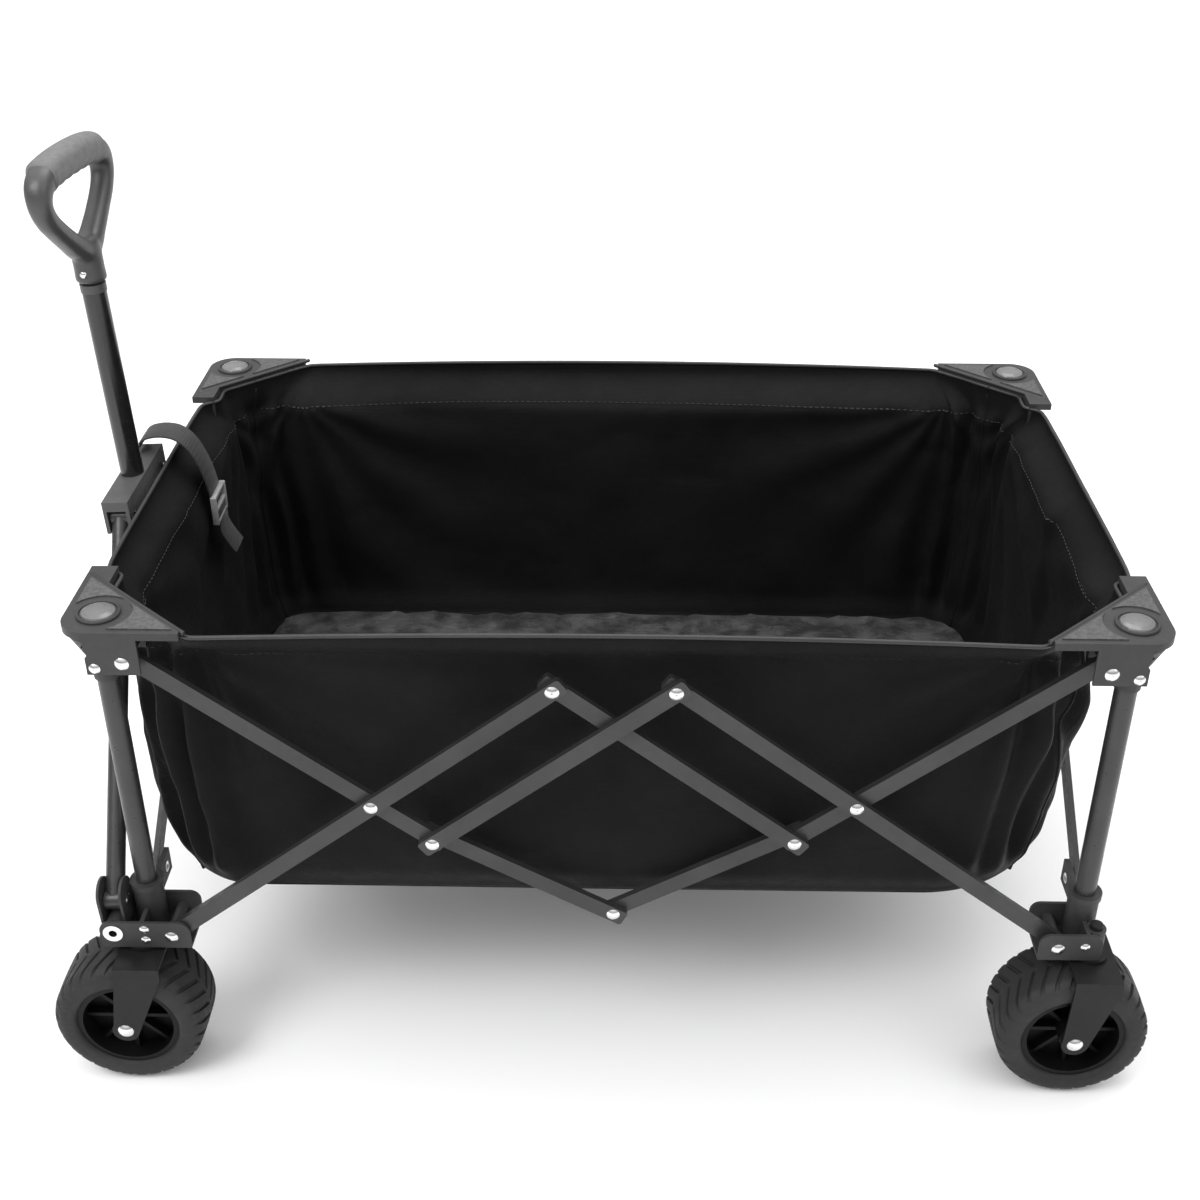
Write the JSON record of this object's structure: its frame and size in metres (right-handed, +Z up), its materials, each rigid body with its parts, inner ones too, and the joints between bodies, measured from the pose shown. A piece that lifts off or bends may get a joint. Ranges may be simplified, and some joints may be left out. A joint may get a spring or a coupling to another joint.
{
  "type": "folding wagon",
  "caption": "Folding fabric wagon on a scissor-bar steel frame with fixed and swivelling wheels and a telescoping pull handle with a D-grip.",
  "frame": {"origin": "on the ground under the middle of the whole wagon", "axes": "+X runs from the pull handle to the far end, +Y across the wagon, +Z up"},
  "size_m": [1.061, 0.6678, 0.8418],
  "materials": {
    "bar_paint": "dark grey powder coat, satin",
    "tube_paint": "dark grey powder coat, satin",
    "bracket_plastic": "fine moulded grain",
    "fork_paint": "black powder coat, satin",
    "tyre_tread": "dark grey soft plastic tread",
    "wheel_hub": "black moulded plastic",
    "handle_plastic": "black moulded plastic",
    "grip_plastic": "grey soft-touch plastic",
    "basket_fabric": "black woven polyester",
    "floor_fabric": "black woven polyester, padded",
    "strap_webbing": "black webbing with a plastic buckle"
  },
  "bodies": {
    "low_fl": {"lower_bracket_fl": "bracket_plastic", "outer_post_fl": "tube_paint", "axle_fork_fl": "fork_paint", "basket": "basket_fabric", "floor_pad": "floor_fabric", "rim_strap": "strap_webbing"},
    "up_fl": {"upper_bracket_fl": "bracket_plastic", "inner_post_fl": "tube_paint"},
    "up_fr": {"upper_bracket_fr": "bracket_plastic", "inner_post_fr": "tube_paint"},
    "up_bl": {"upper_bracket_bl": "bracket_plastic", "inner_post_bl": "tube_paint"},
    "up_br": {"upper_bracket_br": "bracket_plastic", "inner_post_br": "tube_paint"},
    "low_fr": {"lower_bracket_fr": "bracket_plastic", "outer_post_fr": "tube_paint"},
    "low_bl": {"lower_bracket_bl": "bracket_plastic", "outer_post_bl": "tube_paint", "axle_fork_bl": "fork_paint"},
    "low_br": {"lower_bracket_br": "bracket_plastic", "outer_post_br": "tube_paint"},
    "caster_fr": {"caster_fork_fr": "fork_paint"},
    "caster_br": {"caster_fork_br": "fork_paint"},
    "end_1_left": {"end_bar_1_left": "bar_paint"},
    "end_2_left": {"end_bar_2_left": "bar_paint"},
    "end_1_right": {"end_bar_1_right": "bar_paint"},
    "end_2_right": {"end_bar_2_right": "bar_paint"},
    "knuckle_front": {"pull_knuckle_front": "handle_plastic"},
    "knuckle_back": {"pull_knuckle_back": "handle_plastic"},
    "leg_front": {"pull_leg_front": "tube_paint"},
    "leg_back": {"pull_leg_back": "tube_paint"},
    "head": {"pull_head": "handle_plastic", "outer_handle_tube": "tube_paint"},
    "handle": {"sliding_handle_tube": "tube_paint", "d_grip": "grip_plastic"},
    "wheel_fl": {"tyre_fl": "tyre_tread", "hub_fl": "wheel_hub"},
    "wheel_fr": {"tyre_fr": "tyre_tread", "hub_fr": "wheel_hub"},
    "wheel_bl": {"tyre_bl": "tyre_tread", "hub_bl": "wheel_hub"},
    "wheel_br": {"tyre_br": "tyre_tread", "hub_br": "wheel_hub"},
    "bar_a_front": {"bar_a_front": "bar_paint"},
    "bar_b_front": {"bar_b_front": "bar_paint"},
    "bar_c_front": {"bar_c_front": "bar_paint"},
    "bar_d_front": {"bar_d_front": "bar_paint"},
    "bar_e_front": {"bar_e_front": "bar_paint"},
    "bar_f_front": {"bar_f_front": "bar_paint"},
    "bar_g_front": {"bar_g_front": "bar_paint"},
    "bar_h_front": {"bar_h_front": "bar_paint"},
    "bar_a_back": {"bar_a_back": "bar_paint"},
    "bar_b_back": {"bar_b_back": "bar_paint"},
    "bar_c_back": {"bar_c_back": "bar_paint"},
    "bar_d_back": {"bar_d_back": "bar_paint"},
    "bar_e_back": {"bar_e_back": "bar_paint"},
    "bar_f_back": {"bar_f_back": "bar_paint"},
    "bar_g_back": {"bar_g_back": "bar_paint"},
    "bar_h_back": {"bar_h_back": "bar_paint"}
  },
  "joints": [
    {"name": "fold", "type": "hinge", "parent": "low_fl", "child": "end_1_left", "pos_m": [-0.4365, -0.20076, 0.17], "axis": [1, 0, 0], "range_deg": [0, 42], "deforming": ["basket", "floor_pad", "rim_strap"]},
    {"name": "end_2_left_turn", "type": "hinge", "parent": "end_1_left", "child": "end_2_left", "pos_m": [-0.4505, 0, 0.325], "axis": [1, 0, 0], "range_deg": [-84.6, 0.6]},
    {"name": "low_bl_turn", "type": "hinge", "parent": "end_2_left", "child": "low_bl", "pos_m": [-0.4505, 0.20076, 0.17], "axis": [1, 0, 0], "range_deg": [-0.6, 42.6]},
    {"name": "bar_a_front_turn", "type": "hinge", "parent": "low_fl", "child": "bar_a_front", "pos_m": [-0.4065, -0.29, 0.17], "axis": [0, -1, 0], "range_deg": [-0.6, 42.6]},
    {"name": "bar_b_front_turn", "type": "hinge", "parent": "bar_a_front", "child": "bar_b_front", "pos_m": [-0.20574, -0.29, 0.325], "axis": [0, -1, 0], "range_deg": [-84.6, 0.6]},
    {"name": "up_fl_turn", "type": "hinge", "parent": "bar_b_front", "child": "up_fl", "pos_m": [-0.4065, -0.29, 0.48], "axis": [0, -1, 0], "range_deg": [-0.6, 42.6]},
    {"name": "bar_d_front_turn", "type": "hinge", "parent": "bar_a_front", "child": "bar_d_front", "pos_m": [-0.04005, -0.29, 0.45292], "axis": [0, -1, 0], "range_deg": [-84.6, 0.6]},
    {"name": "bar_c_front_turn", "type": "hinge", "parent": "bar_b_front", "child": "bar_c_front", "pos_m": [-0.15219, -0.29, 0.28366], "axis": [0, -1, 0], "range_deg": [-0.6, 84.6]},
    {"name": "bar_g_front_turn", "type": "hinge", "parent": "bar_b_front", "child": "bar_g_front", "pos_m": [-0.15219, -0.29, 0.28366], "axis": [0, -1, 0], "range_deg": [-8.16, 0.6]},
    {"name": "bar_e_front_turn", "type": "hinge", "parent": "bar_c_front", "child": "bar_e_front", "pos_m": [0.06705, -0.29, 0.45292], "axis": [0, -1, 0], "range_deg": [-84.6, 0.6]},
    {"name": "bar_f_front_turn", "type": "hinge", "parent": "bar_e_front", "child": "bar_f_front", "pos_m": [0.23274, -0.29, 0.325], "axis": [0, -1, 0], "range_deg": [-0.6, 84.6]},
    {"name": "bar_h_front_turn", "type": "hinge", "parent": "bar_f_front", "child": "bar_h_front", "pos_m": [0.17919, -0.29, 0.28366], "axis": [0, -1, 0], "range_deg": [-0.6, 8.16]},
    {"name": "up_fr_turn", "type": "hinge", "parent": "bar_f_front", "child": "up_fr", "pos_m": [0.4335, -0.29, 0.48], "axis": [0, -1, 0], "range_deg": [-42.6, 0.6]},
    {"name": "low_fr_turn", "type": "hinge", "parent": "bar_e_front", "child": "low_fr", "pos_m": [0.4335, -0.29, 0.17], "axis": [0, -1, 0], "range_deg": [-0.6, 42.6]},
    {"name": "bar_a_back_turn", "type": "hinge", "parent": "low_bl", "child": "bar_a_back", "pos_m": [-0.4065, 0.29, 0.17], "axis": [0, -1, 0], "range_deg": [-0.6, 42.6]},
    {"name": "bar_b_back_turn", "type": "hinge", "parent": "bar_a_back", "child": "bar_b_back", "pos_m": [-0.20574, 0.29, 0.325], "axis": [0, -1, 0], "range_deg": [-84.6, 0.6]},
    {"name": "up_bl_turn", "type": "hinge", "parent": "bar_b_back", "child": "up_bl", "pos_m": [-0.4065, 0.29, 0.48], "axis": [0, -1, 0], "range_deg": [-0.6, 42.6]},
    {"name": "bar_d_back_turn", "type": "hinge", "parent": "bar_a_back", "child": "bar_d_back", "pos_m": [-0.04005, 0.29, 0.45292], "axis": [0, -1, 0], "range_deg": [-84.6, 0.6]},
    {"name": "bar_c_back_turn", "type": "hinge", "parent": "bar_b_back", "child": "bar_c_back", "pos_m": [-0.15219, 0.29, 0.28366], "axis": [0, -1, 0], "range_deg": [-0.6, 84.6]},
    {"name": "bar_g_back_turn", "type": "hinge", "parent": "bar_b_back", "child": "bar_g_back", "pos_m": [-0.15219, 0.29, 0.28366], "axis": [0, -1, 0], "range_deg": [-8.16, 0.6]},
    {"name": "bar_e_back_turn", "type": "hinge", "parent": "bar_c_back", "child": "bar_e_back", "pos_m": [0.06705, 0.29, 0.45292], "axis": [0, -1, 0], "range_deg": [-84.6, 0.6]},
    {"name": "bar_f_back_turn", "type": "hinge", "parent": "bar_e_back", "child": "bar_f_back", "pos_m": [0.23274, 0.29, 0.325], "axis": [0, -1, 0], "range_deg": [-0.6, 84.6]},
    {"name": "bar_h_back_turn", "type": "hinge", "parent": "bar_f_back", "child": "bar_h_back", "pos_m": [0.17919, 0.29, 0.28366], "axis": [0, -1, 0], "range_deg": [-0.6, 8.16]},
    {"name": "up_br_turn", "type": "hinge", "parent": "bar_f_back", "child": "up_br", "pos_m": [0.4335, 0.29, 0.48], "axis": [0, -1, 0], "range_deg": [-42.6, 0.6]},
    {"name": "low_br_turn", "type": "hinge", "parent": "bar_e_back", "child": "low_br", "pos_m": [0.4335, 0.29, 0.17], "axis": [0, -1, 0], "range_deg": [-0.6, 42.6]},
    {"name": "end_1_right_turn", "type": "hinge", "parent": "low_fr", "child": "end_1_right", "pos_m": [0.4775, -0.20076, 0.17], "axis": [1, 0, 0], "range_deg": [-0.6, 42.6]},
    {"name": "end_2_right_turn", "type": "hinge", "parent": "end_1_right", "child": "end_2_right", "pos_m": [0.4775, 0, 0.325], "axis": [1, 0, 0], "range_deg": [-84.6, 0.6]},
    {"name": "pull_swing", "type": "hinge", "parent": "low_fl", "child": "knuckle_front", "pos_m": [-0.4615, -0.28, 0.175], "axis": [0, -1, 0], "range_deg": [0, 90]},
    {"name": "leg_front_turn", "type": "hinge", "parent": "knuckle_front", "child": "leg_front", "pos_m": [-0.46238, -0.281, 0.19698], "axis": [0.9992, 0, 0.0401], "range_deg": [-0.6, 26.64]},
    {"name": "head_turn", "type": "hinge", "parent": "leg_front", "child": "head", "pos_m": [-0.47418, -0.054, 0.49074], "axis": [0.9992, 0, 0.0401], "range_deg": [-26.64, 0.6]},
    {"name": "leg_back_turn", "type": "hinge", "parent": "head", "child": "leg_back", "pos_m": [-0.47418, 0.054, 0.49074], "axis": [0.9992, 0, 0.0401], "range_deg": [-26.64, 0.6]},
    {"name": "knuckle_back_swing", "type": "hinge", "parent": "low_bl", "child": "knuckle_back", "pos_m": [-0.4615, 0.28, 0.175], "axis": [0, -1, 0], "range_deg": [-0.6, 90.6]},
    {"name": "handle_slide", "type": "slide", "parent": "head", "child": "handle", "axis": [-0.0401, 0, 0.9992], "range_m": [0, 0.2]},
    {"name": "wheel_fl_spin", "type": "hinge", "parent": "low_fl", "child": "wheel_fl", "pos_m": [-0.4575, -0.291, 0.073], "axis": [0, 1, 0], "continuous": true},
    {"name": "wheel_bl_spin", "type": "hinge", "parent": "low_bl", "child": "wheel_bl", "pos_m": [-0.4575, 0.291, 0.073], "axis": [0, 1, 0], "continuous": true},
    {"name": "caster_fr_swivel", "type": "hinge", "parent": "low_fr", "child": "caster_fr", "pos_m": [0.4695, -0.291, 0.16], "axis": [0, 0, 1], "continuous": true},
    {"name": "wheel_fr_spin", "type": "hinge", "parent": "caster_fr", "child": "wheel_fr", "pos_m": [0.4575, -0.291, 0.073], "axis": [0, 1, 0], "continuous": true},
    {"name": "caster_br_swivel", "type": "hinge", "parent": "low_br", "child": "caster_br", "pos_m": [0.4695, 0.291, 0.16], "axis": [0, 0, 1], "continuous": true},
    {"name": "wheel_br_spin", "type": "hinge", "parent": "caster_br", "child": "wheel_br", "pos_m": [0.4575, 0.291, 0.073], "axis": [0, 1, 0], "continuous": true}
  ],
  "couplings": [
    {"joint": "end_2_left_turn", "follows": "fold", "ratio": -2},
    {"joint": "low_bl_turn", "follows": "fold", "ratio": 1},
    {"joint": "bar_a_front_turn", "follows": "fold", "ratio": 1},
    {"joint": "bar_b_front_turn", "follows": "fold", "ratio": -2},
    {"joint": "up_fl_turn", "follows": "fold", "ratio": 1},
    {"joint": "bar_d_front_turn", "follows": "fold", "ratio": -2},
    {"joint": "bar_c_front_turn", "follows": "fold", "ratio": 2},
    {"joint": "bar_g_front_turn", "follows": "fold", "ratio": -0.18},
    {"joint": "bar_e_front_turn", "follows": "fold", "ratio": -2},
    {"joint": "bar_f_front_turn", "follows": "fold", "ratio": 2},
    {"joint": "bar_h_front_turn", "follows": "fold", "ratio": 0.18},
    {"joint": "up_fr_turn", "follows": "fold", "ratio": -1},
    {"joint": "low_fr_turn", "follows": "fold", "ratio": 1},
    {"joint": "bar_a_back_turn", "follows": "fold", "ratio": 1},
    {"joint": "bar_b_back_turn", "follows": "fold", "ratio": -2},
    {"joint": "up_bl_turn", "follows": "fold", "ratio": 1},
    {"joint": "bar_d_back_turn", "follows": "fold", "ratio": -2},
    {"joint": "bar_c_back_turn", "follows": "fold", "ratio": 2},
    {"joint": "bar_g_back_turn", "follows": "fold", "ratio": -0.18},
    {"joint": "bar_e_back_turn", "follows": "fold", "ratio": -2},
    {"joint": "bar_f_back_turn", "follows": "fold", "ratio": 2},
    {"joint": "bar_h_back_turn", "follows": "fold", "ratio": 0.18},
    {"joint": "up_br_turn", "follows": "fold", "ratio": -1},
    {"joint": "low_br_turn", "follows": "fold", "ratio": 1},
    {"joint": "end_1_right_turn", "follows": "fold", "ratio": 1},
    {"joint": "end_2_right_turn", "follows": "fold", "ratio": -2},
    {"joint": "leg_front_turn", "follows": "fold", "ratio": 0.62},
    {"joint": "head_turn", "follows": "fold", "ratio": -0.62},
    {"joint": "leg_back_turn", "follows": "fold", "ratio": -0.62},
    {"joint": "knuckle_back_swing", "follows": "pull_swing", "ratio": 1}
  ]
}
